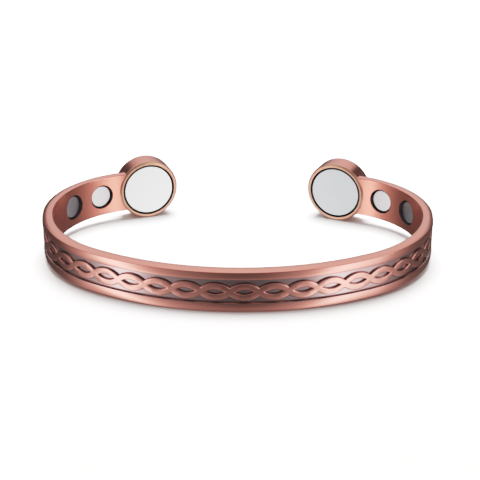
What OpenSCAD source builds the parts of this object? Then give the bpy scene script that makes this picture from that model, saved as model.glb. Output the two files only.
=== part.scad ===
// Open oval cuff bracelet in antique copper. A raised two-strand braid runs in a
// sunk channel round the outside, and each end is a round terminal with a disc
// magnet let into its wrist side. Two smaller magnets sit in the wrist side of
// the band behind each terminal. The cuff lies at rest on its front lower edge
// and on the two terminals, which are taller than the band.

/* [Band] */
// Height of the band between its lower and upper edges
band_h = 6.5; // [5.5:0.1:9]
// Thickness of the band between the wrist side and the faces of the borders
band_t = 1.7; // [1.5:0.05:2.4]
// Radius of the rounded outer edges
edge_r = 0.45; // [0.2:0.05:0.7]

/* [Plan of the cuff] */
// Outer radius of the flat front arc
front_r = 40; // [32:0.5:60]
// Angle between the middle of the front and the start of a side arc
front_a = 32; // [24:1:40]
// Outer radius of the side arcs
side_r = 19.4; // [17:0.1:26]
// Outer radius of the rear arcs, which carry the small magnets
rear_r = 16.4; // [14:0.1:24]
// Angle that each rear arc covers, from the widest point to its terminal
rear_a = 67; // [60:1:80]

/* [Channel and braid] */
// Height of the sunk channel between the two borders
channel_h = 3.55; // [3:0.05:4.2]
// Depth of the channel below the faces of the borders
channel_d = 0.4; // [0.2:0.05:0.5]
// Least length of plain band between the channel and the end of the rear arc
plain_end = 0.8; // [0.5:0.1:6]
// Length of the braid between two crossings
braid_pitch = 4.22; // [3.6:0.02:6]
// Height of the braid across the middle of an eye
braid_h = 2.66; // [2:0.02:3]
// Height of the braid at a crossing
crossing_h = 1.26; // [0.9:0.02:1.6]
// Length of the opening in an eye
eye_l = 2.7; // [2:0.05:3.2]
// Height of the opening in an eye
eye_h = 0.76; // [0.5:0.02:1.1]
// Height of the braid above the floor of the channel
braid_rise = 0.35; // [0.15:0.01:0.4]

/* [Terminals] */
// Diameter of a terminal
terminal_d = 10; // [9:0.1:12]
// Thickness of a terminal along the axis of its magnet
terminal_t = 3.5; // [3:0.1:5]
// Distance between the end of the rear arc and the axis of the terminal
terminal_reach = 4.4; // [4:0.1:6]
// How far the terminal stands proud of the band on the wrist side
terminal_proud = 0.2; // [0.15:0.05:0.5]
// Radius of the rounded rims of a terminal
rim_r = 0.4; // [0.1:0.05:0.5]

/* [Terminal magnets] */
// Diameter of a terminal magnet
big_magnet_d = 8.2; // [6:0.1:8.4]
// Thickness of a terminal magnet
big_magnet_t = 2; // [1:0.1:2.2]
// Depth of its face below the wrist side of the terminal
big_magnet_sink = 0.08; // [0.02:0.02:0.5]

/* [Band magnets] */
// Diameter of a band magnet
small_magnet_d = 3.5; // [2:0.1:4]
// Thickness of a band magnet
small_magnet_t = 0.55; // [0.4:0.05:0.6]
// Depth of its face below the wrist side of the band
small_magnet_sink = 0.3; // [0.1:0.05:0.35]
// Angle on the rear arc between its end and the first band magnet
small_magnet_first = 15; // [14:0.5:20]
// Angle between the two band magnets of a side
small_magnet_step = 23.4; // [20:0.2:28]

/* [Fits] */
// Clearance all round a terminal magnet in its pocket
big_magnet_fit = 0.3; // [0.05:0.01:0.35]
// Clearance all round a band magnet in its pocket
small_magnet_fit = 0.3; // [0.1:0.01:0.35]
// Clearance between a magnet and the floor of its pocket
seat_gap = 0.05; // [0.02:0.01:0.1]
// Chamfer on the edges of the magnets
magnet_chamfer = 0.15; // [0.05:0.05:0.2]

/* [Hidden] */
$fn = 96;

// Directions in plan at a heading, away from the wrist and along the band
function outward(h) = [sin(h), -cos(h)];
function forward(h) = [cos(h), sin(h)];
function arc_length(r, a) = PI * r * a / 180;
function arc_angle(r, l) = 180 * l / (PI * r);

// Headings start at the middle of the front. The side arcs end at the widest
// point of the cuff, and the rear arcs turn back towards the gap.
side_end = 90;
rear_end = side_end + rear_a;
front_c = [0, front_r];
side_c = front_c + (front_r - side_r) * outward(front_a);
rear_c = side_c + (side_r - rear_r) * outward(side_end);
front_l = arc_length(front_r, front_a);
side_l = arc_length(side_r, side_end - front_a);
half_l = front_l + side_l + arc_length(rear_r, rear_a);
mid_z = band_h / 2;
disc_r = terminal_d / 2;

// Heading and place on the outer face at a length of band from the front's middle
function heading_at(l) =
    l < front_l ? arc_angle(front_r, l) :
    l < front_l + side_l ? front_a + arc_angle(side_r, l - front_l) :
    side_end + arc_angle(rear_r, l - front_l - side_l);
function centre_at(l) = l < front_l ? front_c : l < front_l + side_l ? side_c : rear_c;
function radius_at(l) = l < front_l ? front_r : l < front_l + side_l ? side_r : rear_r;
function place_at(l) = centre_at(l) + radius_at(l) * outward(heading_at(l));

// Each eye of the braid is a lens between two arcs. Neighbours overlap, and every
// other eye is a little lower, as one strand passes under the next.
eye_rise = (braid_h - crossing_h) / 2;
braid_arc_r = (pow(braid_pitch / 2, 2) + pow(eye_rise, 2)) / (2 * eye_rise);
eye_arc_r = (pow(eye_l / 2, 2) + pow(eye_h / 2, 2)) / eye_h;
lens_l = 2 * sqrt(pow(braid_arc_r, 2) - pow(braid_arc_r - braid_h / 2, 2));
tip_l = (lens_l - braid_pitch) / 2;
tip_gap = 0.35;
eyes = floor((half_l - plain_end - tip_l - tip_gap) / braid_pitch);
braid_root = 0.35;
eye_step = 0.03;

// The channel ends just past the last eye, and its walls lean back a little.
channel_end = eyes * braid_pitch + tip_l + tip_gap;
channel_ramp = 0.3;
wall_lean = 0.08;

// The band runs on into the terminal until its corners are well inside the disc.
corner_cover = 0.4;
band_run = terminal_reach - sqrt(pow(disc_r, 2) - pow(mid_z, 2)) + corner_cover;
// Middle of the terminal's wrist side
terminal_face = place_at(half_l) + terminal_reach * forward(rear_end)
    - (band_t + terminal_proud) * outward(rear_end);

// Steps of the swept band in each arc, and the steps of its rounded edges
front_steps = 9;
side_steps = 11;
rear_steps = 11;
round_step = 30;
// Length by which the pockets are cut past the surface they start from
past = 1;

// The rest pose. The flat lower edge at the front and the lowest points of the
// terminals' wrist rims touch the surface together.
rim_y = terminal_face.y + rim_r * outward(rear_end).y;
rest_tilt = atan((disc_r - mid_z) / (rim_y - edge_r));
rest_lift = -edge_r * sin(rest_tilt);
// Front and rear limits of the tilted cuff, which centre it on the origin
front_limit = -(band_h - edge_r) * sin(rest_tilt);
back_y = terminal_face.y + (terminal_t - rim_r) * outward(rear_end).y;
rear_limit = back_y * cos(rest_tilt) - mid_z * sin(rest_tilt) + rim_r
    + (disc_r - rim_r) * norm([sin(rear_end) * cos(rest_tilt), sin(rest_tilt)]);

module at_rest()
    translate([0, -(front_limit + rear_limit) / 2, rest_lift])
        rotate([rest_tilt, 0, 0])
            children();

// Puts a thing drawn with +X away from the wrist at a place and heading in plan
module at(place, h)
    translate([place.x, place.y, mid_z])
        rotate([0, 0, h - 90])
            children();

module both_sides() {
    children();
    mirror([1, 0, 0]) children();
}

// Lengths along one half of the band where its section is drawn
half_stations = concat(
    [for (i = [1 : front_steps]) front_l * i / front_steps],
    [for (i = [1 : side_steps]) front_l + side_l * i / side_steps],
    [for (i = [1 : rear_steps])
        front_l + side_l + (channel_end - front_l - side_l) * i / rear_steps],
    [channel_end + channel_ramp, half_l, half_l + band_run]);
half_count = len(half_stations);
stations = concat([for (i = [half_count - 1 : -1 : 0]) -half_stations[i]], [0], half_stations);

// Section of the band as pairs of depth below the border faces and height
function section(l) =
    let (d = abs(l) > channel_end ? 0 : channel_d, low = mid_z - channel_h / 2)
    concat(
        [[band_t, 0]],
        [for (a = [0 : round_step : 90]) [edge_r - edge_r * sin(a), edge_r - edge_r * cos(a)]],
        [[0, low], [d, low + wall_lean], [d, band_h - low - wall_lean], [0, band_h - low]],
        [for (a = [90 : -round_step : 0])
            [edge_r - edge_r * sin(a), band_h - edge_r + edge_r * cos(a)]],
        [[band_t, band_h]]);

// The same section set upright across the band at its station
function ring(l) =
    let (h = heading_at(abs(l)), p = place_at(abs(l)), side = l < 0 ? -1 : 1)
    [for (q = section(l)) [side * (p - q[0] * outward(h)).x, (p - q[0] * outward(h)).y, q[1]]];

module band() {
    n = len(section(0));
    last = len(stations) - 1;
    polyhedron(
        points = [for (l = stations) each ring(l)],
        faces = concat(
            [[for (k = [n - 1 : -1 : 0]) k]],
            [for (i = [0 : last - 1], k = [0 : n - 1])
                [i * n + k, i * n + (k + 1) % n, (i + 1) * n + (k + 1) % n, (i + 1) * n + k]],
            [[for (k = [0 : n - 1]) last * n + k]]),
        convexity = 10);
}

// A lens in plan, with its length along Y
module lens(arc_r, height)
    intersection() {
        translate([arc_r - height / 2, 0]) circle(arc_r);
        translate([height / 2 - arc_r, 0]) circle(arc_r);
    }

// One eye of the braid, standing out along +X, with a top that follows the band
module eye(r, rise)
    intersection() {
        translate([-channel_d - braid_root, 0, 0])
            rotate([0, 90, 0])
                linear_extrude(braid_root + channel_d)
                    difference() {
                        lens(braid_arc_r, braid_h);
                        lens(eye_arc_r, eye_h);
                    }
        translate([-r, 0, 0])
            cylinder(r = r - channel_d + rise, h = band_h, center = true);
    }

module braid()
    for (side = [0, 1], i = [0 : eyes - 1]) {
        l = (i + 0.5) * braid_pitch;
        low = (i + side) % 2 * eye_step;
        mirror([side, 0, 0])
            at(place_at(l), heading_at(l))
                eye(radius_at(l), braid_rise - low);
    }

// A disc along +X with both rims eased, by an arc or by a plain chamfer
module eased_disc(d, t, ease, step)
    rotate([0, 90, 0])
        rotate_extrude()
            polygon(concat(
                [[0, 0]],
                [for (a = [0 : step : 90]) [d / 2 - ease + ease * sin(a), ease - ease * cos(a)]],
                [for (a = [90 : -step : 0]) [d / 2 - ease + ease * sin(a), t - ease + ease * cos(a)]],
                [[0, t]]));

module pocket(d, depth)
    translate([-past, 0, 0])
        rotate([0, 90, 0])
            cylinder(d = d, h = past + depth);

module at_terminal() at(terminal_face, rear_end) children();

// Places on the wrist side of the band for the small magnets, rear then side
module at_band_magnet(k) {
    h = rear_end - small_magnet_first - k * small_magnet_step;
    at(rear_c + (rear_r - band_t) * outward(h), h) children();
}

module cuff()
    color("peru") at_rest() difference() {
        union() {
            band();
            braid();
            both_sides() at_terminal() eased_disc(terminal_d, terminal_t, rim_r, round_step);
        }
        both_sides() {
            at_terminal()
                pocket(big_magnet_d + 2 * big_magnet_fit, big_magnet_sink + big_magnet_t + seat_gap);
            for (k = [0, 1])
                at_band_magnet(k)
                    pocket(small_magnet_d + 2 * small_magnet_fit,
                        small_magnet_sink + small_magnet_t + seat_gap);
        }
    }

module terminal_magnet()
    at_terminal()
        translate([big_magnet_sink, 0, 0])
            eased_disc(big_magnet_d, big_magnet_t, magnet_chamfer, 90);

module band_magnet(k)
    at_band_magnet(k)
        translate([small_magnet_sink, 0, 0])
            eased_disc(small_magnet_d, small_magnet_t, magnet_chamfer, 90);

module terminal_magnet_right() color("gainsboro") at_rest() terminal_magnet();
module terminal_magnet_left() color("gainsboro") at_rest() mirror([1, 0, 0]) terminal_magnet();
module band_magnet_right_rear() color("silver") at_rest() band_magnet(0);
module band_magnet_right_side() color("silver") at_rest() band_magnet(1);
module band_magnet_left_rear() color("silver") at_rest() mirror([1, 0, 0]) band_magnet(0);
module band_magnet_left_side() color("silver") at_rest() mirror([1, 0, 0]) band_magnet(1);

cuff();
terminal_magnet_left();
terminal_magnet_right();
band_magnet_left_rear();
band_magnet_left_side();
band_magnet_right_rear();
band_magnet_right_side();
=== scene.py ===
# Open oval cuff bracelet in antique copper, lying on a pale table. The cuff is
# worked as a straight strip in millimetres, with its channel and its two-strand
# braid, and then bent round. The terminals and the magnets are added, and all
# of it is laid at rest in the frame of the solids, in metres.

import math

import bmesh
import bpy
from mathutils import Matrix, Vector


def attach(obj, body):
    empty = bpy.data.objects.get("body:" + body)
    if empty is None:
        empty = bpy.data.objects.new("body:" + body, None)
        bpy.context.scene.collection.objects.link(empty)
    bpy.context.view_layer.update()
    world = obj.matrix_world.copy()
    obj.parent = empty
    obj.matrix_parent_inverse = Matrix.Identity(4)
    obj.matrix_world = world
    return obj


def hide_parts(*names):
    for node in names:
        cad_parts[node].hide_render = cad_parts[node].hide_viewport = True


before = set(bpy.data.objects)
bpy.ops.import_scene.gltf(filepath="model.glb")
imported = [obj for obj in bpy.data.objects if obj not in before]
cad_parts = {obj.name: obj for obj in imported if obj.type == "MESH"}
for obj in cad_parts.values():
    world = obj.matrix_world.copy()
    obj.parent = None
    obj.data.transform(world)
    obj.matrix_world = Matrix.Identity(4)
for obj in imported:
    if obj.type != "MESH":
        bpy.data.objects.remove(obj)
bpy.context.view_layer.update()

# Millimetres to metres, and how near counts as one place: in a test, for a sliver, on a cut and on
# a mirrored seam. The last is how far a cutter reaches past what it cuts.
MM = 0.001
SAME_PLACE = 0.001
SLIVER = 0.004
CUT_REACH = 1e-5
SEAM_REACH = 1e-4
OVERCUT = 1

# Band
BAND_HEIGHT = 6.5
BAND_THICKNESS = 1.7
OUTER_EDGE = 0.45
INNER_EDGE = 0.2
BAND_MIDDLE = BAND_HEIGHT / 2

# Plan of the cuff, as three arcs from the middle of the front to each terminal
FRONT_RADIUS = 40.0
FRONT_ANGLE = 32.0
SIDE_RADIUS = 19.4
REAR_RADIUS = 16.4
REAR_ANGLE = 67.0
SIDE_END = 90.0
REAR_END = SIDE_END + REAR_ANGLE
STEPS_PER_DEGREE = 2

# Channel and braid
CHANNEL_HEIGHT = 3.55
CHANNEL_DEPTH = 0.4
CHANNEL_LEAN = 0.08
CHANNEL_RAMP = 0.3
LIP_EDGE = 0.02
BORDER_ROUND = 3.2
BORDER_CREST = 2.27
BORDER_LINES = (2.02, 2.27, 2.54)
CREASE_EDGE = 0.06
SHOULDER_WIDTH = 0.5
SHOULDER_DROP = 0.2
UPPER_LIP_RISE = 0.15
BRAID_PITCH = 4.22
BRAID_HEIGHT = 2.66
CROSSING_HEIGHT = 1.26
EYE_LENGTH = 2.7
EYE_HEIGHT = 0.76
BRAID_RISE = 0.36
BRAID_ROOT = 0.3
BRAID_SHOULDER = 0.15
POINT_MERGE = 0.03
EYES_A_SIDE = 14
TIP_GAP = 0.35
ROUND_SIDES = 160
CUTS_PER_EYE = 12

# Terminals and magnets
TERMINAL_DIAMETER = 10.0
TERMINAL_THICKNESS = 3.5
TERMINAL_REACH = 4.4
TERMINAL_PROUD = 0.2
TERMINAL_RIM = 0.4
CORNER_COVER = 0.4
BIG_MAGNET_DIAMETER = 8.2
BIG_MAGNET_THICKNESS = 2.0
BIG_MAGNET_SINK = 0.08
BIG_MAGNET_FIT = 0.3
SMALL_MAGNET_DIAMETER = 3.5
SMALL_MAGNET_THICKNESS = 0.55
SMALL_MAGNET_SINK = 0.3
SMALL_MAGNET_FIT = 0.3
SMALL_MAGNET_FIRST = 15.0
SMALL_MAGNET_STEP = 23.4
SEAT_GAP = 0.05
MAGNET_EDGE = 0.1
TERMINAL_SIDES = 160
POCKET_SIDES = 96
MAGNET_SIDES = 96

# Angles of the meshes, in degrees: what still shows smooth, what is flat and what is a sharp edge
SMOOTH_ANGLE = 34
FLAT_ANGLE = 0.05
SHARP_ANGLE = 57.3

# How the metal's faces are told apart. A place is marked by how sunk it is, from 0 on the borders to
# 1 on the channel's floor, with numbers of their own for the channel's lips and the wrist side. The
# lips' number paints shade on them, darkening the light that their edges catch. A face is a pocket's
# when it lies this near to its wall or floor, up to this far out at its mouth.
CHANNEL_FLOOR_SHARE = 0.95
LIP_PAINTED_SHADE = 0.6
WRIST_MARK = -1
POCKET_REACH = 0.02
POCKET_MOUTH = 0.3

# Finishes. Tones are the two colours that a cloudy finish runs between, a satin is the range of its
# roughness, and a reach is in millimetres.
BAND_TONES = ((0.73, 0.275, 0.225), (0.80, 0.315, 0.255))
BAND_SATIN = (0.23, 0.29)
WRIST_TONES = ((0.76, 0.25, 0.19), (0.83, 0.28, 0.21))
WRIST_SATIN = (0.33, 0.40)
GRAIN_STRETCH = (0.12, 14, 1)
BRUSHING = 0.6
RING_TONES = ((0.72, 0.33, 0.255), (0.67, 0.38, 0.245))
RING_ROUGHNESS = 0.42
# Brown of the patina on the sunk walls. On the channel's lips the same brown is painted shade.
WALL_PATINA_AND_LIP_SHADE = (0.42, 0.30, 0.29)
# Painted shade in the nooks of the band, as far as the reach
NOOK_SHADE_BROWN = (0.36, 0.24, 0.225)
NOOK_REACH = 0.3
PATINA_TONES = ((0.36, 0.24, 0.235), (0.46, 0.31, 0.31))
PATINA_SATIN = (0.16, 0.23)
# Painted shade on the channel's floor along its walls, as far as the reach
PATINA_NOOK_SHADE = (0.18, 0.11, 0.115)
PATINA_SHADE_REACH = 0.25
# Near-black of the pockets: painted shade of the deep narrow gap round each magnet, partly the pocket's own
# dark
POCKET_SHADE_TONES = ((0.012, 0.009, 0.010), (0.035, 0.026, 0.026))
POCKET_SHADE_ROUGHNESS = 0.5

# The plates of the magnets: name, tones and roughness. The magnets are alike, and their lighter and darker
# tones paint the different light that each one reflects.
PLATE_PAINTED_BRIGHT = ("plate_painted_bright", ((0.95, 0.965, 0.99), (0.99, 1.0, 1.0)), 0.42)
PLATE_PAINTED_DIM = ("plate_painted_dim", ((0.60, 0.63, 0.66), (0.66, 0.69, 0.72)), 0.45)
PLATE_PAINTED_PALE = ("plate_painted_pale", ((0.93, 0.90, 0.91), (0.98, 0.95, 0.96)), 0.6)
PLATE_PAINTED_DARK = ("plate_painted_dark", ((0.66, 0.60, 0.65), (0.74, 0.68, 0.73)), 0.32)

# The table, in metres. It is a little darker in front of the bracelet than behind it, as painted shade
# that deepens the shadows in front and fades those behind, and turns from one tone to the other
# between two places along Y.
FLOOR_SIZE = 4
FLOOR_TONES = ((0.5, 0.48, 0.475), (0.62, 0.605, 0.60))
FLOOR_TURN = (-0.018, 0.006)
FLOOR_ROUGHNESS = 0.9

# The room as the metal sees it. Each pair of a glow is a place and how bright it is there. The side
# lights go by the angle round the bracelet, from straight behind it at -180 by the camera's side at
# 0 to behind it again at 180. Their reach and the table's glow go by height, from straight down at
# -1 to straight up at 1.
SIDE_GLOW = (
    (-180, 0),
    (-105, 0.03),
    (-84, 0.4),
    (-68, 0.9),
    (-56, 5.4),
    (-46, 1.6),
    (-38, 0.6),
    (-27, 0.3),
    (-14, 0.12),
    (0, 0),
    (14, 0.07),
    (26, 0.36),
    (36, 0.65),
    (48, 4.6),
    (60, 2.2),
    (80, 0.55),
    (105, 0.1),
    (180, 0),
)
SIDE_REACH = ((-1, 0), (-0.85, 0.3), (-0.6, 1), (0.1, 1), (0.5, 0.1), (1, 0))
TABLE_GLOW = (
    (-1, 0.12),
    (-0.9, 0.2),
    (-0.76, 0.44),
    (-0.6, 0.26),
    (-0.47, 0.13),
    (-0.25, 0.12),
    (1, 0.10),
)
GLOW_TOP = 6.0

# The table's glow fades from the camera's side to what is left of it on the far side. The ceiling's
# glow comes in as a direction turns towards the ceiling. It goes out to both sides, and sooner at
# its foot, which spreads from a height upwards.
TABLE_FADE = (-0.2, 0.5)
TABLE_BEHIND = 0.72
CEILING_GLOW = 1.33
CEILING_WAY = (0, 0.45, 0.893)
CEILING_FADE = (0.3, 1.0)
CEILING_SHIFT = 0.08
CEILING_SIDES = (0.52, 0.7)
CEILING_FOOT = (0.12, 0.36)
CEILING_FOOT_HEIGHT = 0.37
CEILING_SPREAD = 2.5

# The tone curve. Each pair is a light and how bright it shows, and what is over the white shows white
TONE_WHITE = 3.0
TONE_POINTS = ((0.2, 0.195), (0.4, 0.37), (0.76, 0.6), (1.2, 0.745), (1.7, 0.85), (2.2, 0.92))

# The camera of the photo, in degrees and millimetres. It shows what is further off than the near end.
VIEW_AZIMUTH = 2.65
VIEW_ELEVATION = 21.82
VIEW_DISTANCE = 211.8
VIEW_AIM = (0.24, 5.13, 0.70)
NEAR_END = 10
LENS = 99.15
SENSOR = 36


def outward(heading):
    """The direction in plan away from the wrist"""
    return Vector((math.sin(math.radians(heading)), -math.cos(math.radians(heading)), 0))


def forward(heading):
    """The direction in plan along the band, away from the middle of the front"""
    return Vector((math.cos(math.radians(heading)), math.sin(math.radians(heading)), 0))


front_centre = Vector((0, FRONT_RADIUS, 0))
side_centre = front_centre + (FRONT_RADIUS - SIDE_RADIUS) * outward(FRONT_ANGLE)
rear_centre = side_centre + (SIDE_RADIUS - REAR_RADIUS) * outward(SIDE_END)
half_length = (
    FRONT_RADIUS * math.radians(FRONT_ANGLE)
    + SIDE_RADIUS * math.radians(SIDE_END - FRONT_ANGLE)
    + REAR_RADIUS * math.radians(REAR_ANGLE)
)
disc_radius = TERMINAL_DIAMETER / 2
band_run = TERMINAL_REACH - math.sqrt(disc_radius**2 - BAND_MIDDLE**2) + CORNER_COVER
band_end = half_length + band_run

# The arcs that bound an eye of the braid
eye_rise = (BRAID_HEIGHT - CROSSING_HEIGHT) / 2
braid_arc = ((BRAID_PITCH / 2) ** 2 + eye_rise**2) / (2 * eye_rise)
eye_arc = ((EYE_LENGTH / 2) ** 2 + (EYE_HEIGHT / 2) ** 2) / EYE_HEIGHT
lens_half = math.sqrt(braid_arc**2 - (braid_arc - BRAID_HEIGHT / 2) ** 2)
braid_end = EYES_A_SIDE * BRAID_PITCH
channel_end = braid_end - BRAID_PITCH / 2 + lens_half + TIP_GAP

# The radius and the depth of the pockets
big_pocket = (BIG_MAGNET_DIAMETER / 2 + BIG_MAGNET_FIT, BIG_MAGNET_SINK + BIG_MAGNET_THICKNESS)
small_pocket = (SMALL_MAGNET_DIAMETER / 2 + SMALL_MAGNET_FIT, SMALL_MAGNET_SINK + SMALL_MAGNET_THICKNESS)

# The rest pose, as in the solids: the front edge and the terminals touch the table
terminal_place = (
    rear_centre
    + REAR_RADIUS * outward(REAR_END)
    + TERMINAL_REACH * forward(REAR_END)
    - (BAND_THICKNESS + TERMINAL_PROUD) * outward(REAR_END)
)
rim_y = terminal_place.y + TERMINAL_RIM * outward(REAR_END).y
tilt = math.atan((disc_radius - BAND_MIDDLE) / (rim_y - OUTER_EDGE))
front_limit = -(BAND_HEIGHT - OUTER_EDGE) * math.sin(tilt)
back_y = terminal_place.y + (TERMINAL_THICKNESS - TERMINAL_RIM) * outward(REAR_END).y
disc_sweep = math.hypot(math.sin(math.radians(REAR_END)) * math.cos(tilt), math.sin(tilt))
rear_limit = (
    back_y * math.cos(tilt)
    - BAND_MIDDLE * math.sin(tilt)
    + TERMINAL_RIM
    + (disc_radius - TERMINAL_RIM) * disc_sweep
)
rest_shift = Vector((0, -(front_limit + rear_limit) / 2, -OUTER_EDGE * math.sin(tilt)))
at_rest = Matrix.Scale(MM, 4) @ Matrix.Translation(rest_shift) @ Matrix.Rotation(tilt, 4, "X")


def select_only(piece):
    bpy.ops.object.select_all(action="DESELECT")
    piece.select_set(True)
    bpy.context.view_layer.objects.active = piece


def bake_place(piece):
    """Puts the place, turn and size of a piece into its mesh"""
    select_only(piece)
    bpy.ops.object.transform_apply(location=True, rotation=True, scale=True)
    return piece


def open_for_edit(piece, kind):
    select_only(piece)
    bpy.ops.object.mode_set(mode="EDIT")
    bpy.ops.mesh.select_mode(type=kind)
    bpy.ops.mesh.select_all(action="DESELECT")


def close_edit():
    bpy.ops.object.mode_set(mode="OBJECT")


def pick(piece, kind, wanted):
    """Selects the vertices, edges or faces that the test wants, in edit mode"""
    mesh = bmesh.from_edit_mesh(piece.data)
    for item in {"VERT": mesh.verts, "EDGE": mesh.edges, "FACE": mesh.faces}[kind]:
        item.select_set(wanted(item))
    mesh.select_flush_mode()
    bmesh.update_edit_mesh(piece.data)


def cut_across(place, normal, drop_before=False, drop_after=False, reach=CUT_REACH):
    """Cuts the open mesh with a plane, and may drop what lies on one side"""
    bpy.ops.mesh.select_all(action="SELECT")
    bpy.ops.mesh.bisect(
        plane_co=place, plane_no=normal, clear_inner=drop_before, clear_outer=drop_after, threshold=reach
    )


def finish_with(piece, kind, **settings):
    """Adds a modifier to a piece and applies it"""
    select_only(piece)
    modifier = piece.modifiers.new(kind.lower(), kind)
    for name, value in settings.items():
        setattr(modifier, name, value)
    bpy.ops.object.modifier_apply(modifier=modifier.name)
    return piece


def mirror_across(piece, x=False, z=False):
    """Mirrors a half-made piece about its own middle and joins the halves"""
    return finish_with(piece, "MIRROR", use_axis=(x, False, z), merge_threshold=SEAM_REACH)


def combine(piece, other, how):
    """Joins, cuts or crosses a piece with another one, which is used up"""
    finish_with(piece, "BOOLEAN", object=other, operation=how, solver="EXACT")
    bpy.data.objects.remove(other)
    return piece


def near(value, target):
    return abs(value - target) < SAME_PLACE


def along(edge):
    """Whether an edge runs along the straight strip"""
    a, b = (v.co for v in edge.verts)
    return near(a.y, b.y) and near(a.z, b.z)


def along_at(edge, y, height):
    """Whether an edge runs along the strip at a depth and at a height from the middle line"""
    place = edge.verts[0].co
    return along(edge) and near(place.y, y) and near(abs(place.z), height)


def ease(width, steps=3):
    """Rounds the picked edges of the open mesh"""
    bpy.ops.mesh.bevel(offset=width, segments=steps, profile=0.5, affect="EDGES")


def peg(name, radius, y_low, y_high, z):
    """A round peg along Y"""
    bpy.ops.mesh.primitive_cylinder_add(
        vertices=ROUND_SIDES,
        radius=radius,
        depth=y_high - y_low,
        location=(0, (y_low + y_high) / 2, z),
        rotation=(math.pi / 2, 0, 0),
    )
    bpy.context.object.name = name
    return bake_place(bpy.context.object)


def lens(name, arc, height, y_low, y_high):
    """The overlap of two discs, which leaves a lens of that height along X"""
    off = arc - height / 2
    upper = peg(name, arc, y_low, y_high, -off)
    lower = peg(name + "_lower", arc, y_low - OVERCUT, y_high + OVERCUT, off)
    return combine(upper, lower, "INTERSECT")


def braid_eye():
    """One eye of the braid with eased shoulders, about the middle of the eye"""
    top = CHANNEL_DEPTH - BRAID_RISE
    root = CHANNEL_DEPTH + BRAID_ROOT
    eye = lens("braid_eye", braid_arc, BRAID_HEIGHT, top, root)
    combine(eye, lens("eye_hole", eye_arc, EYE_HEIGHT, top - OVERCUT, root + OVERCUT), "DIFFERENCE")
    open_for_edit(eye, "EDGE")
    cut_across((0, 0, 0), (0, 0, 1), drop_before=True)
    sharp = math.radians(SHARP_ANGLE)
    pick(eye, "EDGE", lambda e: e.calc_face_angle(0) > sharp and all(near(v.co.y, top) for v in e.verts))
    ease(BRAID_SHOULDER)
    close_edit()
    return mirror_across(eye, z=True)


def border_fall(z):
    """How far the rounded face of a border has fallen back at a height from the middle line"""
    return (z - BORDER_CREST) ** 2 / (2 * BORDER_ROUND)


def ease_borders(stretch):
    """Cuts both shoulders of the open stretch and rounds them, their creases and the wrist edges"""
    shoulder = border_fall(BAND_MIDDLE)
    shoulder_foot = shoulder + SHOULDER_WIDTH
    crease_height = BAND_MIDDLE - 2 * SHOULDER_DROP

    def on_crease(edge):
        place = edge.verts[0].co
        return along(edge) and place.y < shoulder + SAME_PLACE and abs(place.z) > crease_height

    for side in (-1, 1):
        slope = (0, -SHOULDER_DROP, side * SHOULDER_WIDTH)
        cut_across((0, shoulder_foot, side * BAND_MIDDLE), slope, drop_after=True)
        bpy.ops.mesh.select_mode(type="EDGE")
        pick(stretch, "EDGE", lambda e: e.is_boundary)
        bpy.ops.mesh.edge_face_add()
    pick(stretch, "EDGE", lambda e: along(e) and near(e.verts[0].co.y, shoulder_foot))
    ease(SHOULDER_WIDTH / 3)
    pick(stretch, "EDGE", on_crease)
    ease(CREASE_EDGE)
    pick(stretch, "EDGE", lambda e: along_at(e, BAND_THICKNESS, BAND_MIDDLE))
    ease(INNER_EDGE)


def bar(start, end, channel_stop):
    """A straight stretch of the band. Its border faces are at Y = 0 and its middle line at Z = 0"""
    bpy.ops.mesh.primitive_cube_add(
        size=1,
        location=((start + end) / 2, BAND_THICKNESS / 2, 0),
        scale=(end - start, BAND_THICKNESS, BAND_HEIGHT),
    )
    stretch = bake_place(bpy.context.object)
    stretch.name = "band_stretch"
    lip = CHANNEL_HEIGHT / 2
    foot = lip - CHANNEL_LEAN
    open_for_edit(stretch, "VERT")
    for z in (-lip, -foot, foot, lip):
        cut_across((0, 0, z), (0, 0, 1))
    for z in BORDER_LINES:
        cut_across((0, 0, z), (0, 0, 1))
        cut_across((0, 0, -z), (0, 0, 1))
    for z in (lip, *BORDER_LINES, BAND_MIDDLE):
        pick(stretch, "VERT", lambda v: near(v.co.y, 0) and near(abs(v.co.z), z))
        bpy.ops.transform.translate(value=(0, border_fall(z), 0))
    ease_borders(stretch)
    if channel_stop < end:
        cut_across((channel_stop, 0, 0), (1, 0, 0))
        cut_across((channel_stop + CHANNEL_RAMP, 0, 0), (1, 0, 0))
    bpy.ops.mesh.select_mode(type="VERT")
    last = channel_stop + CHANNEL_RAMP / 2
    pick(stretch, "VERT", lambda v: near(v.co.y, 0) and abs(v.co.z) < foot + SAME_PLACE and v.co.x < last)
    bpy.ops.transform.translate(value=(0, CHANNEL_DEPTH, 0))
    bpy.ops.mesh.select_mode(type="EDGE")
    pick(stretch, "EDGE", lambda e: along_at(e, border_fall(lip), lip))
    ease(LIP_EDGE, steps=2)
    close_edit()
    return stretch


def tidy_flats():
    """Runs the flat faces together again where a cut or a joint has split them"""
    bpy.ops.mesh.select_all(action="SELECT")
    bpy.ops.mesh.dissolve_limited(angle_limit=math.radians(FLAT_ANGLE))


def cut_for_bending(start, end):
    """Cuts the open stretch across at even steps, to follow an arc, and merges what slivers it leaves"""
    step = BRAID_PITCH / CUTS_PER_EYE
    for i in range(1, math.ceil((end - start) / step)):
        cut_across((start + i * step, 0, 0), (1, 0, 0), reach=SLIVER)
    bpy.ops.mesh.select_all(action="SELECT")
    bpy.ops.mesh.remove_doubles(threshold=SLIVER)
    bpy.ops.mesh.dissolve_degenerate(threshold=SLIVER / 2)


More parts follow.
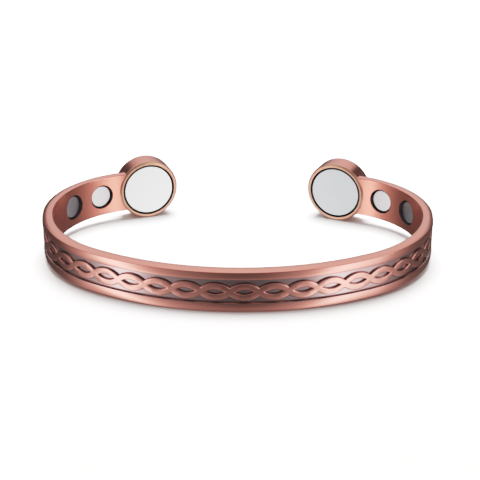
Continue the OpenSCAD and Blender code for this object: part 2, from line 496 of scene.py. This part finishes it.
def straight_strip():
    """The whole band with its braid, straight along X, in stretches that are part made and mirrored"""
    half_eye = BRAID_PITCH / 2
    cell = bar(-BRAID_PITCH, BRAID_PITCH, 2 * BRAID_PITCH)
    combine(cell, braid_eye(), "UNION")
    open_for_edit(cell, "FACE")
    cut_across((0, 0, 0), (0, 0, 1), drop_before=True)
    cut_across((0, 0, 0), (1, 0, 0), drop_before=True)
    cut_across((half_eye, 0, 0), (1, 0, 0), drop_after=True)
    tidy_flats()
    cut_for_bending(0, half_eye)
    close_edit()
    mirror_across(cell, x=True, z=True)
    cell.location.x = half_eye
    bake_place(cell)
    finish_with(
        cell,
        "ARRAY",
        count=EYES_A_SIDE,
        use_relative_offset=False,
        use_constant_offset=True,
        constant_offset_displace=(BRAID_PITCH, 0, 0),
        use_merge_vertices=True,
        merge_threshold=SEAM_REACH,
    )
    last_eye = braid_end - half_eye
    tail = bar(-BRAID_PITCH, band_end - last_eye, channel_end - last_eye)
    combine(tail, braid_eye(), "UNION")
    open_for_edit(tail, "FACE")
    cut_across((0, 0, 0), (0, 0, 1), drop_before=True)
    cut_across((half_eye, 0, 0), (1, 0, 0), drop_before=True)
    tidy_flats()
    cut_for_bending(half_eye, band_end - last_eye)
    close_edit()
    mirror_across(tail, z=True)
    point = Vector((lens_half - BRAID_SHOULDER * braid_arc / lens_half, CHANNEL_DEPTH - BRAID_RISE, 0))
    open_for_edit(tail, "VERT")
    pick(tail, "VERT", lambda v: (v.co - point).length < POINT_MERGE)
    bpy.ops.mesh.merge(type="CENTER")
    close_edit()
    tail.location.x = last_eye
    bake_place(tail)
    select_only(cell)
    tail.select_set(True)
    bpy.ops.object.join()
    cell.name = "cuff_metal"
    open_for_edit(cell, "VERT")
    bpy.ops.mesh.select_all(action="SELECT")
    bpy.ops.mesh.remove_doubles(threshold=SLIVER)
    close_edit()
    return mirror_across(cell, x=True)


def raise_upper_lip(strip):
    """The upper wall of the channel stands a little further out than the lower one"""
    lowest = BRAID_HEIGHT / 2 + UPPER_LIP_RISE
    highest = CHANNEL_HEIGHT / 2 + 2 * LIP_EDGE
    open_for_edit(strip, "VERT")
    pick(strip, "VERT", lambda v: lowest < v.co.z < highest and v.co.y < BAND_THICKNESS / 2)
    bpy.ops.transform.translate(value=(0, 0, UPPER_LIP_RISE))
    close_edit()


def mark(piece, rule):
    """Notes for the finish how sunk each corner of a piece is, how much painted shade a lip takes, and
    whether it is on a rim ring
    """
    marks = piece.data.uv_layers.new(name="marks")
    for loop, place in zip(piece.data.loops, marks.data):
        place.uv = rule(piece.data.vertices[loop.vertex_index].co)


def mark_surface(strip):
    """Notes on the straight strip how sunk each place is and how much painted shade the channel's lips
    take, and unrolls it for the brushed grain
    """
    foot = CHANNEL_HEIGHT / 2 - CHANNEL_LEAN / 2
    lip = CHANNEL_HEIGHT / 2 + 2 * LIP_EDGE

    def sunk(co):
        if co.y > BAND_THICKNESS - SAME_PLACE:
            return WRIST_MARK
        # Painted shade on the channel's lips, darkening the light they catch
        if foot < abs(co.z) < lip and co.y < CHANNEL_DEPTH / 2:
            return LIP_PAINTED_SHADE
        return co.y / CHANNEL_DEPTH if co.y < CHANNEL_DEPTH + SAME_PLACE and abs(co.z) < foot else 0

    mark(strip, lambda co: (sunk(co), 0))
    grain = strip.data.uv_layers.new(name="grain")
    for loop, place in zip(strip.data.loops, grain.data):
        co = strip.data.vertices[loop.vertex_index].co
        place.uv = (co.x, co.z + co.y)


def plan_line():
    """The outer line of the cuff in plan, as a curve from the left end to the right end"""
    bpy.ops.mesh.primitive_plane_add(size=0.1)
    line = bpy.context.object
    line.name = "plan_line"
    open_for_edit(line, "VERT")
    bpy.ops.mesh.select_all(action="SELECT")
    bpy.ops.mesh.merge(type="CENTER")
    arcs = (
        (front_centre, FRONT_ANGLE),
        (side_centre, SIDE_END - FRONT_ANGLE),
        (rear_centre, REAR_ANGLE),
    )
    for centre, angle in arcs:
        steps = round(angle * STEPS_PER_DEGREE)
        bpy.ops.mesh.spin(steps=steps, angle=-math.radians(angle), center=centre, axis=(0, 0, 1))
    close_edit()
    mirror_across(line, x=True)
    bpy.ops.object.convert(target="CURVE")
    line = bpy.context.object
    line.data.dimensions = "3D"
    line.data.twist_mode = "Z_UP"
    if line.data.splines[0].points[0].co.x > 0:
        select_only(line)
        bpy.ops.object.mode_set(mode="EDIT")
        bpy.ops.curve.select_all(action="SELECT")
        bpy.ops.curve.switch_direction()
        bpy.ops.object.mode_set(mode="OBJECT")
    return line


def bend_round(strip):
    """Bends the straight strip along the plan of the cuff"""
    line = plan_line()
    strip.location.x = half_length
    bake_place(strip)
    finish_with(strip, "CURVE", object=line, deform_axis="POS_X")
    bpy.data.objects.remove(line)
    strip.location.z = BAND_MIDDLE
    return bake_place(strip)


def stand_at(piece, place, heading):
    """Takes a piece whose axis points along +X away from the wrist to a place and heading in plan"""
    piece.rotation_euler.z = math.radians(heading - 90)
    piece.location = (place.x, place.y, BAND_MIDDLE)
    return bake_place(piece)


def mirrored(piece, name):
    """A copy on the other side, with its own mesh"""
    select_only(piece)
    bpy.ops.object.duplicate()
    other = bpy.context.object
    other.name = name
    other.scale.x = -1
    bake_place(other)
    open_for_edit(other, "FACE")
    bpy.ops.mesh.select_all(action="SELECT")
    bpy.ops.mesh.normals_make_consistent(inside=False)
    close_edit()
    return other


def disc(name, diameter, start, end, edge, steps, sides):
    """A disc along X with both rims eased in a few steps, or sharp where the edge is 0"""

    def on_rim(side):
        a, b = (v.co for v in side.verts)
        return near(a.x, b.x) and all(near(math.hypot(co.y, co.z), diameter / 2) for co in (a, b))

    bpy.ops.mesh.primitive_cylinder_add(
        vertices=sides,
        radius=diameter / 2,
        depth=end - start,
        end_fill_type="TRIFAN",
        location=((start + end) / 2, 0, 0),
        rotation=(0, math.pi / 2, 0),
    )
    piece = bake_place(bpy.context.object)
    piece.name = name
    if edge:
        open_for_edit(piece, "EDGE")
        pick(piece, "EDGE", on_rim)
        ease(edge, steps)
        close_edit()
    return piece


def turned_surface(piece):
    """Grain that runs round a disc, and a mark on its wrist side, where the rim ring goes"""
    grain = piece.data.uv_layers.new(name="grain")
    radius = max(vertex.co.z for vertex in piece.data.vertices)
    for face in piece.data.polygons:
        middle = face.center
        turn = math.atan2(middle.z, middle.y)
        for index in face.loop_indices:
            co = piece.data.vertices[piece.data.loops[index].vertex_index].co
            ahead = co.y * math.cos(turn) + co.z * math.sin(turn)
            aside = co.z * math.cos(turn) - co.y * math.sin(turn)
            angle = turn + (math.atan2(aside, ahead) if math.hypot(ahead, aside) > SAME_PLACE else 0)
            grain.data[index].uv = (radius * angle, co.x + math.hypot(ahead, aside))
    mark(piece, lambda co: (0, 1 if co.x < TERMINAL_RIM - SAME_PLACE else 0))


def pocket(radius, depth):
    """What is cut away for a magnet, with its seat gap"""
    return disc("pocket", 2 * radius, -OVERCUT, depth + SEAT_GAP, edge=0, steps=0, sides=POCKET_SIDES)


def small_magnet_seat(k):
    """The place and heading on the wrist side of the band for a small magnet, rear then side"""
    heading = REAR_END - SMALL_MAGNET_FIRST - k * SMALL_MAGNET_STEP
    return rear_centre + (REAR_RADIUS - BAND_THICKNESS) * outward(heading), heading


def pockets():
    """The place, heading, radius and depth of each pocket on the right side"""
    small_ones = [(*small_magnet_seat(k), *small_pocket) for k in (0, 1)]
    return [(terminal_place, REAR_END, *big_pocket), *small_ones]


def cuff_metal():
    """The whole metal part: band, braid, terminals and the pockets for the magnets"""
    metal = straight_strip()
    mark_surface(metal)
    raise_upper_lip(metal)
    bend_round(metal)
    terminal = disc(
        "terminal", TERMINAL_DIAMETER, 0, TERMINAL_THICKNESS, TERMINAL_RIM, steps=5, sides=TERMINAL_SIDES
    )
    turned_surface(terminal)
    stand_at(terminal, terminal_place, REAR_END)
    cuts = [stand_at(pocket(radius, depth), place, heading) for place, heading, radius, depth in pockets()]
    for piece, how in [(terminal, "UNION")] + [(cut, "DIFFERENCE") for cut in cuts]:
        other = mirrored(piece, piece.name + "_left")
        combine(metal, piece, how)
        combine(metal, other, how)
    metal.name = "copper_cuff"
    open_for_edit(metal, "VERT")
    bpy.ops.mesh.select_all(action="SELECT")
    bpy.ops.mesh.remove_doubles(threshold=SAME_PLACE)
    bpy.ops.mesh.dissolve_degenerate(threshold=SAME_PLACE)
    close_edit()
    return metal


def magnet(name, diameter, thickness, sink, place, heading):
    piece = disc(name, diameter, sink, sink + thickness, MAGNET_EDGE, steps=4, sides=MAGNET_SIDES)
    return stand_at(piece, place, heading)


def lay_at_rest(piece):
    """From millimetres in the cuff's own frame to metres at rest on the table"""
    piece.data.transform(at_rest)
    select_only(piece)
    bpy.ops.object.shade_smooth_by_angle(angle=math.radians(SMOOTH_ANGLE))
    finish_with(piece, "WEIGHTED_NORMAL", keep_sharp=True)


def shader(name):
    """A new material, its shader and a function that adds a node to it"""
    material = bpy.data.materials.new(name)
    material.use_nodes = True
    tree = material.node_tree
    surface = tree.nodes["Principled BSDF"]

    def add(kind, links=(), **settings):
        node = tree.nodes.new("ShaderNode" + kind)
        for key, value in settings.items():
            if key[0].isupper():
                node.inputs[key.replace("_", " ")].default_value = value
            else:
                setattr(node, key, value)
        for source, target in links:
            tree.links.new(source, node.inputs[target])
        return node

    return material, surface, add, tree.links.new


def tone(add, share, tones):
    """A colour that runs between two tones"""
    mix = add("MixRGB", [(share, "Fac")], Color1=(*tones[0], 1), Color2=(*tones[1], 1))
    return mix.outputs[0]


def cloud(add, scale, detail, roughness=0.5):
    """A cloud from 0 to 1 on the metal"""
    place = add("TexCoord")
    noise = add(
        "TexNoise", [(place.outputs["Object"], "Vector")], Scale=scale, Detail=detail, Roughness=roughness
    )
    return noise.outputs[0]


def nook_shade(add, colour, nook_colour, reach):
    """Painted shade: a colour that turns to another one where the nooks of the piece are hidden from the
    room, as far as the reach in millimetres
    """
    nook = add("AmbientOcclusion", samples=6, only_local=True, Distance=reach * MM)
    mix = add("MixRGB", [(nook.outputs["AO"], "Fac"), (colour, "Color2")], Color1=(*nook_colour, 1))
    return mix.outputs[0]


def satin_range(add, share, satin):
    """A roughness that runs over a range"""
    rough = add("MapRange", [(share, "Value")])
    rough.inputs["To Min"].default_value, rough.inputs["To Max"].default_value = satin
    return rough.outputs[0]


def antique_copper(name, tones, satin):
    """Copper brushed along the band, with a cast cloud, patina brown on the sunk walls, painted shade on
    the channel's lips and in the nooks, and brassy on the rim rings
    """
    material, surface, add, link = shader(name)
    grain = add("UVMap", uv_map="grain")
    stretched = add("Mapping", [(grain.outputs[0], "Vector")], Scale=GRAIN_STRETCH)
    streaks = add("TexNoise", [(stretched.outputs[0], "Vector")], Scale=1, Detail=5, Roughness=0.6)
    cast = cloud(add, scale=220, detail=4, roughness=0.55)
    marks = add("UVMap", uv_map="marks")
    split_marks = add("SeparateXYZ", [(marks.outputs[0], "Vector")])
    sunk, ring = split_marks.outputs["X"], split_marks.outputs["Y"]
    copper, brass = tone(add, cast, tones), tone(add, cast, RING_TONES)
    ringed = add("MixRGB", [(ring, "Fac"), (copper, "Color1"), (brass, "Color2")])
    # The sunk walls take patina brown, and the lips take the same brown as painted shade
    patina_and_lip_shade = add("MixRGB", [(sunk, "Fac"), (ringed.outputs[0], "Color1")], Color2=(*WALL_PATINA_AND_LIP_SHADE, 1))
    # Painted shade darkens the colour in the nooks
    link(nook_shade(add, patina_and_lip_shade.outputs[0], NOOK_SHADE_BROWN, NOOK_REACH), surface.inputs["Base Color"])
    brushed = satin_range(add, streaks.outputs[0], satin)
    worn = add("MapRange", [(ring, "Value"), (brushed, "To Min")])
    worn.inputs["To Max"].default_value = RING_ROUGHNESS
    link(worn.outputs[0], surface.inputs["Roughness"])
    surface.inputs["Metallic"].default_value = 1
    surface.inputs["Anisotropic"].default_value = BRUSHING
    surface.inputs["Anisotropic Rotation"].default_value = 0.25
    tangent = add("Tangent", direction_type="UV_MAP", uv_map="grain")
    link(tangent.outputs[0], surface.inputs["Tangent"])
    return material


def channel_patina():
    """The grey-lilac patina on the floor of the channel, with painted shade along its walls"""
    material, surface, add, link = shader("channel_patina")
    cast = cloud(add, scale=300, detail=4, roughness=0.6)
    link(nook_shade(add, tone(add, cast, PATINA_TONES), PATINA_NOOK_SHADE, PATINA_SHADE_REACH), surface.inputs["Base Color"])
    link(satin_range(add, cast, PATINA_SATIN), surface.inputs["Roughness"])
    surface.inputs["Metallic"].default_value = 1
    return material


def pocket_shade_black():
    """The near-black wall and floor of a pocket: painted shade of the deep narrow gap round a magnet,
    partly the pocket's own dark
    """
    material, surface, add, link = shader("pocket_shade_black")
    link(tone(add, cloud(add, scale=900, detail=3), POCKET_SHADE_TONES), surface.inputs["Base Color"])
    surface.inputs["Roughness"].default_value = POCKET_SHADE_ROUGHNESS
    return material


def plated_magnet(name, tones, roughness):
    """Nickel plate, cloudy between two greys, with a roughness that makes it satin"""
    material, surface, add, link = shader(name)
    link(tone(add, cloud(add, scale=350, detail=5), tones), surface.inputs["Base Color"])
    surface.inputs["Metallic"].default_value = 1
    surface.inputs["Roughness"].default_value = roughness
    return material


def in_pocket(face):
    """Whether a face of the bent metal is a wall or floor of a magnet's pocket"""
    middle = face.calc_center_median()
    for place, heading, radius, depth in pockets():
        offset = Vector((abs(middle.x), middle.y, middle.z)) - Vector((place.x, place.y, BAND_MIDDLE))
        deep = offset.dot(outward(heading))
        out = (offset - deep * outward(heading)).length
        within = out < radius + POCKET_REACH and -POCKET_MOUTH < deep < depth + SEAT_GAP + POCKET_REACH
        if within and (out > radius - POCKET_REACH or deep > depth):
            return True
    return False


def finish_cuff(cuff):
    """Gives each face of the bent metal its finish, by its marks and its place"""
    finishes = (
        antique_copper("antique_copper", BAND_TONES, BAND_SATIN),
        pocket_shade_black(),
        channel_patina(),
        antique_copper("wrist_copper", WRIST_TONES, WRIST_SATIN),
    )
    band, black, patina, wrist = range(len(finishes))
    cuff.data.materials.clear()
    for finish in finishes:
        cuff.data.materials.append(finish)
    mesh = bmesh.new()
    mesh.from_mesh(cuff.data)
    marks = mesh.loops.layers.uv["marks"]
    for face in mesh.faces:
        sunk = [corner[marks].uv.x for corner in face.loops]
        # A pocket's wall and floor take the near-black that paints the shade of its gap
        if in_pocket(face):
            face.material_index = black
        elif min(sunk) > CHANNEL_FLOOR_SHARE:
            face.material_index = patina
        elif max(sunk) < WRIST_MARK / 2:
            face.material_index = wrist
        else:
            face.material_index = band
    mesh.to_mesh(cuff.data)
    mesh.free()


def set_magnet(piece, node, plate):
    """Plates a magnet, lays it at rest and lets it stand for its solid"""
    piece.name = node + "_plated"
    piece.data.materials.clear()
    piece.data.materials.append(plate)
    lay_at_rest(piece)
    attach(piece, "root")
    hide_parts(node)


def photo_camera():
    data = bpy.data.cameras.new("photo_camera")
    data.lens = LENS
    data.sensor_width = SENSOR
    data.clip_start = NEAR_END * MM
    camera = bpy.data.objects.new("photo_camera", data)
    bpy.context.scene.collection.objects.link(camera)
    elevation = math.radians(VIEW_ELEVATION)
    back = math.cos(elevation) * outward(VIEW_AZIMUTH) + Vector((0, 0, math.sin(elevation)))
    camera.location = MM * (Vector(VIEW_AIM) + VIEW_DISTANCE * back)
    camera.rotation_euler = back.to_track_quat("Z", "Y").to_euler()
    bpy.context.scene.camera = camera


def soft_light(name, azimuth, height, distance, size, strength, glossy=True, diffuse=True):
    """A soft box that faces the bracelet, in metres. Its strength is its brightness against white"""
    data = bpy.data.lights.new(name, "AREA")
    data.shape = "RECTANGLE"
    data.size, data.size_y = size
    data.energy = strength * math.pi * size[0] * size[1]
    light = bpy.data.objects.new(name, data)
    bpy.context.scene.collection.objects.link(light)
    angle = math.radians(azimuth)
    light.location = (distance * math.sin(angle), -distance * math.cos(angle), height)
    light.rotation_euler = light.location.to_track_quat("Z", "Y").to_euler()
    light.visible_camera = False
    light.visible_glossy = glossy
    light.visible_diffuse = diffuse


def pale_table():
    """The table under the bracelet. The metal sees the glow of the room in its place"""
    bpy.ops.mesh.primitive_plane_add(size=FLOOR_SIZE)
    floor = bpy.context.object
    floor.name = "pale_table"
    material, surface, add, link = shader("pale_table")
    place = add("TexCoord")
    split_place = add("SeparateXYZ", [(place.outputs["Object"], "Vector")])
    front, back = FLOOR_TURN
    behind = add("MapRange", [(split_place.outputs["Y"], "Value")], From_Min=front, From_Max=back)
    # Painted shade: darker in front and lighter behind, for deeper shadows in front of the bracelet
    link(tone(add, behind.outputs[0], FLOOR_TONES), surface.inputs["Base Color"])
    surface.inputs["Roughness"].default_value = FLOOR_ROUGHNESS
    surface.inputs["Specular IOR Level"].default_value = 0
    floor.data.materials.append(material)
    floor.visible_glossy = False
    floor.visible_shadow = False


def studio():
    """The table and its soft boxes, a window that only the metal sees, and the room that it reflects"""
    pale_table()
    soft_light("overhead_box", 180, height=0.68, distance=0.17, size=(0.4, 0.4), strength=53, glossy=False)
    soft_light("wide_ceiling", 0, height=0.60, distance=0.0, size=(1.6, 1.6), strength=1.4, glossy=False)
    soft_light("key_window", 71, height=0.28, distance=0.53, size=(0.25, 0.25), strength=3.0, diffuse=False)
    studio_room()
    tone_curve()


def studio_room():
    """The glow that the metal reflects: two soft side lights, a lit table and a light ceiling behind"""
    world = bpy.data.worlds.new("studio_room")
    bpy.context.scene.world = world
    world.use_nodes = True
    tree = world.node_tree

    def add(kind, *sources, **settings):
        node = tree.nodes.new("ShaderNode" + kind)
        for key, value in settings.items():
            setattr(node, key, value)
        for socket, source in zip(node.inputs, sources):
            if isinstance(source, bpy.types.NodeSocket):
                tree.links.new(source, socket)
            else:
                socket.default_value = source
        return node.outputs[0]

    def by_place(value, lowest, highest, pairs):
        """How bright a glow is at a place between a lowest and a highest one"""
        share = add("MapRange", value, lowest, highest)
        ramp = tree.nodes.new("ShaderNodeValToRGB")
        stops = ramp.color_ramp.elements
        for _ in pairs[2:]:
            stops.new(1)
        for stop, (place, light) in zip(stops, pairs):
            stop.position = (place - lowest) / (highest - lowest)
            stop.color = (light / GLOW_TOP, light / GLOW_TOP, light / GLOW_TOP, 1)
        tree.links.new(share, ramp.inputs[0])
        return add("Math", ramp.outputs[0], GLOW_TOP, operation="MULTIPLY")

    def fade(value, lowest, highest, start, end):
        """Runs softly from a start to an end while a value goes from a lowest to a highest one"""
        return add("MapRange", value, lowest, highest, start, end, interpolation_type="SMOOTHSTEP")

    def times(first, second):
        return add("Math", first, second, operation="MULTIPLY")

    def plus(first, second):
        return add("Math", first, second, operation="ADD")

    way = tree.nodes.new("ShaderNodeTexCoord").outputs["Generated"]
    split_way = tree.nodes.new("ShaderNodeSeparateXYZ")
    tree.links.new(way, split_way.inputs[0])
    x, y, z = split_way.outputs
    round_it = add("Math", add("Math", x, times(y, -1), operation="ARCTAN2"), operation="DEGREES")
    sides = times(by_place(round_it, -180, 180, SIDE_GLOW), by_place(z, -1, 1, SIDE_REACH))
    towards_ceiling = tree.nodes.new("ShaderNodeVectorMath")
    towards_ceiling.operation = "DOT_PRODUCT"
    towards_ceiling.inputs[1].default_value = CEILING_WAY
    tree.links.new(way, towards_ceiling.inputs[0])
    ceiling = fade(towards_ceiling.outputs["Value"], *CEILING_FADE, 0, CEILING_GLOW)
    narrowed = fade(add("Math", plus(x, CEILING_SHIFT), operation="ABSOLUTE"), *CEILING_SIDES, 1, 0)
    above_foot = add("Math", plus(z, -CEILING_FOOT_HEIGHT), 0, operation="MAXIMUM")
    past_foot = add(
        "Math", above_foot, -CEILING_SPREAD, add("Math", x, operation="ABSOLUTE"), operation="MULTIPLY_ADD"
    )
    shaped = times(narrowed, fade(past_foot, *CEILING_FOOT, 1, 0))
    table = times(by_place(z, -1, 1, TABLE_GLOW), fade(y, *TABLE_FADE, 1, TABLE_BEHIND))
    glow = plus(plus(times(ceiling, shaped), table), sides)
    background = tree.nodes["Background"]
    background.inputs["Color"].default_value = (1, 1, 1, 1)
    tree.links.new(glow, background.inputs["Strength"])


def tone_curve():
    """The soft shoulder of a product photograph: bright metal pales instead of turning orange"""
    view = bpy.context.scene.view_settings
    view.view_transform = "Standard"
    view.use_curve_mapping = True
    curves = view.curve_mapping
    curves.white_level = (TONE_WHITE, TONE_WHITE, TONE_WHITE)
    shoulder = curves.curves[3]
    for light, shown in TONE_POINTS:
        shoulder.points.new(light / TONE_WHITE, shown)
    curves.update()


photo_camera()
studio()

cuff = cuff_metal()
finish_cuff(cuff)
lay_at_rest(cuff)
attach(cuff, "root")
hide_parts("cuff")

big = magnet("big", BIG_MAGNET_DIAMETER, BIG_MAGNET_THICKNESS, BIG_MAGNET_SINK, terminal_place, REAR_END)
small = [
    magnet("small", SMALL_MAGNET_DIAMETER, SMALL_MAGNET_THICKNESS, SMALL_MAGNET_SINK, *small_magnet_seat(k))
    for k in (0, 1)
]
# Painted light: alike magnets get lighter and darker plates for the light that each one reflects
set_magnet(mirrored(big, "left"), "terminal_magnet_left", plated_magnet(*PLATE_PAINTED_BRIGHT))
set_magnet(big, "terminal_magnet_right", plated_magnet(*PLATE_PAINTED_DIM))
plates = (plated_magnet(*PLATE_PAINTED_PALE), plated_magnet(*PLATE_PAINTED_DARK))
for piece, where, plate in zip(small, ("rear", "side"), plates):
    set_magnet(mirrored(piece, "left"), f"band_magnet_left_{where}", plate)
    set_magnet(piece, f"band_magnet_right_{where}", plate)
